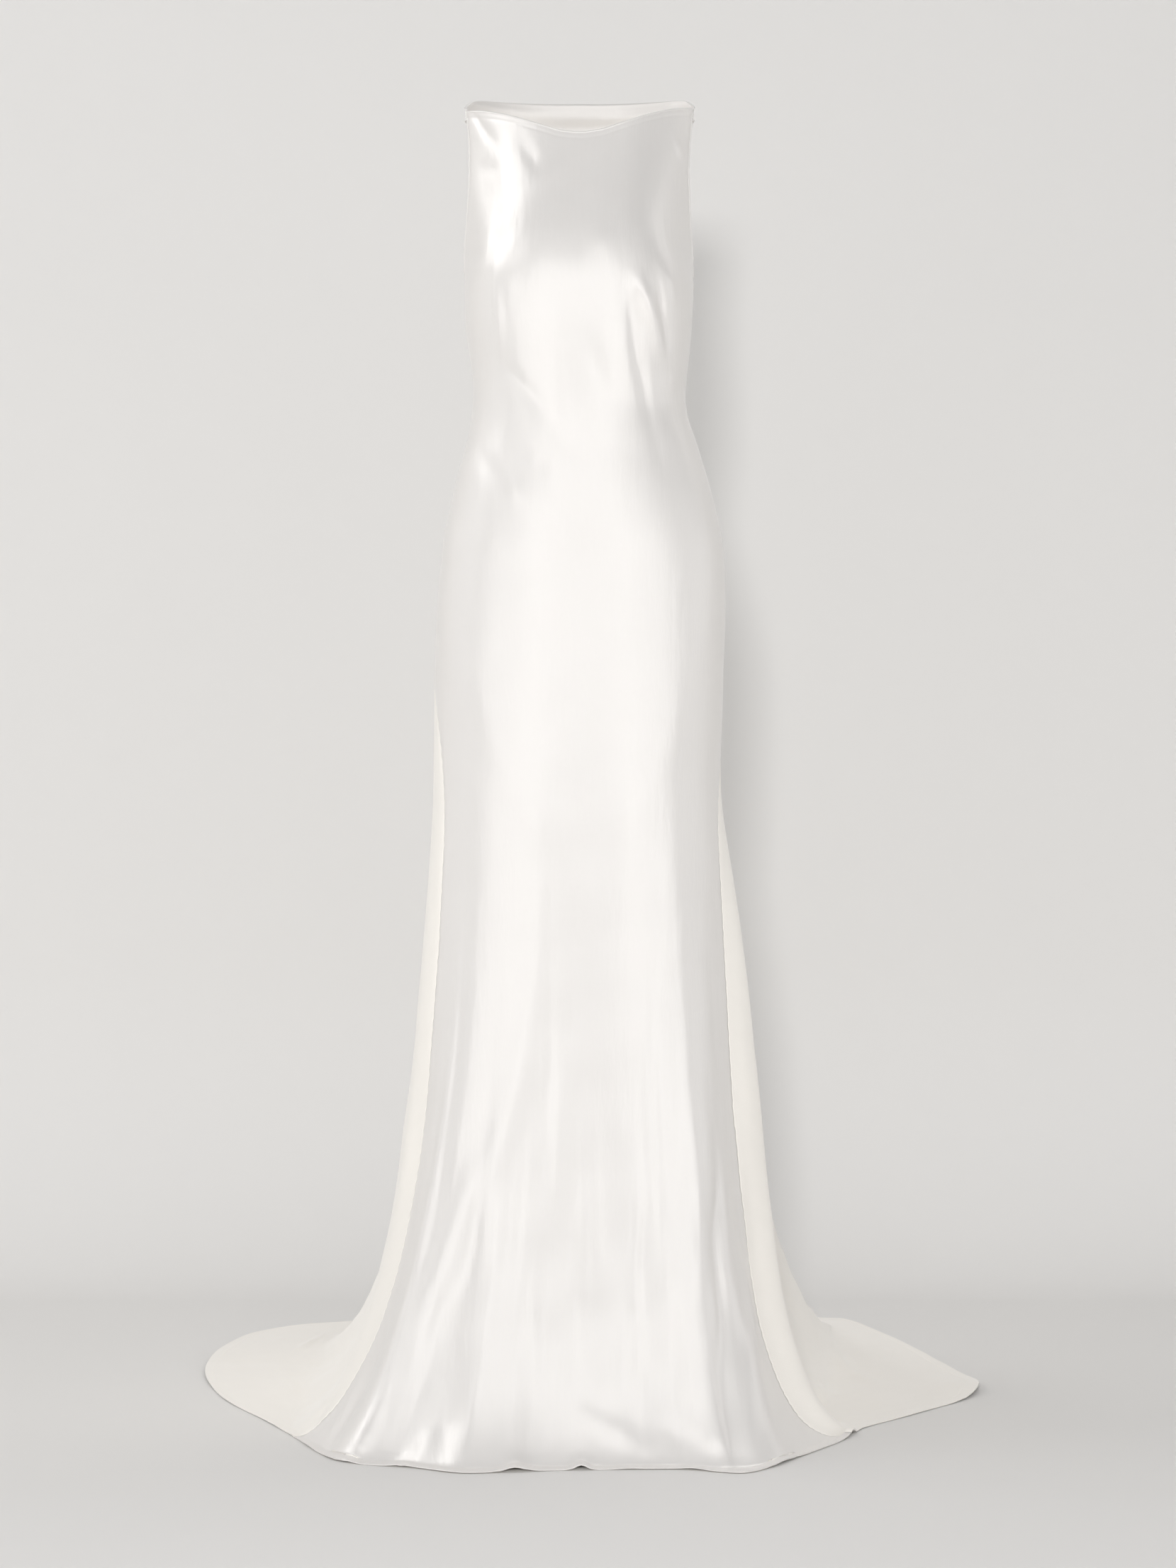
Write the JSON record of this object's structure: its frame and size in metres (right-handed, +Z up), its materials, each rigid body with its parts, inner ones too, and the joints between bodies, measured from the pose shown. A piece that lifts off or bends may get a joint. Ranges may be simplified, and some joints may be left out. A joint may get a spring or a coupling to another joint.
{
  "type": "open-back gown",
  "caption": "Sleeveless floor-length gown with a satin front, crepe back panels, a soft band behind the neck, an open back and a spreading train, filled out as worn.",
  "frame": {"origin": "midway between the two shoulder tips, at their height, where the wearer's shoulders hold the gown", "axes": "+Z up, -Y the gown's front, +X to the right of the gown as seen from the front"},
  "size_m": [0.9541, 1.0625, 1.5246],
  "materials": {
    "front_satin": "satin",
    "left_crepe": "matte",
    "right_crepe": "matte",
    "band_satin": "satin"
  },
  "bodies": {
    "root": {"front_panel": "front_satin", "back_panel_left": "left_crepe", "back_panel_right": "right_crepe", "back_neck_band": "band_satin"}
  },
  "joints": []
}
